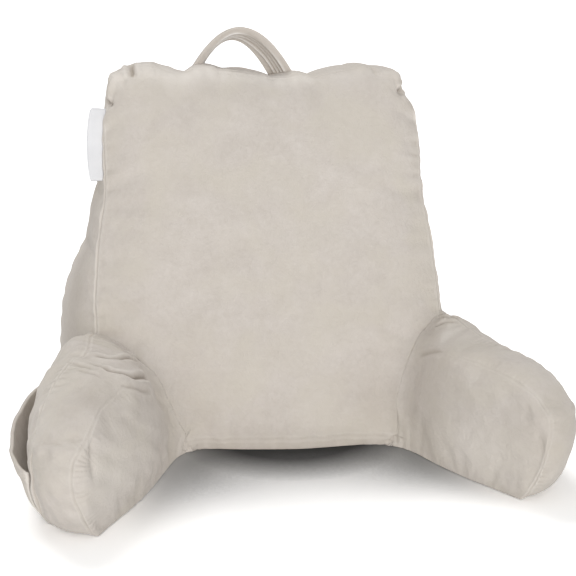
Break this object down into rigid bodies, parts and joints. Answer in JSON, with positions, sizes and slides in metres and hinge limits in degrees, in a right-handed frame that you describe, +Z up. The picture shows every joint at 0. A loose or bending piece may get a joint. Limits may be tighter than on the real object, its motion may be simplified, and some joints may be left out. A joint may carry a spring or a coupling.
{
  "type": "reading pillow with arms",
  "caption": "Plush backrest pillow with splayed arms, a patch pocket on each arm, a strap handle on top and a bare cloth tab in the side seam.",
  "frame": {"origin": "middle of the pillow's overall footprint, on the floor that it stands on", "axes": "+X to the right of the picture, +Y from the reader towards the rear of the back, +Z up"},
  "size_m": [0.6263, 0.4426, 0.4926],
  "materials": {
    "velvet": "short soft pile with a faint nap",
    "strap_velvet": "short soft pile, folded and pressed",
    "satin": "smooth satin weave, bare"
  },
  "bodies": {
    "root": {"back_cushion": "velvet", "arm_left": "velvet", "arm_right": "velvet", "pocket_left": "velvet", "pocket_right": "velvet", "carry_handle": "strap_velvet", "side_label": "satin"}
  },
  "joints": []
}
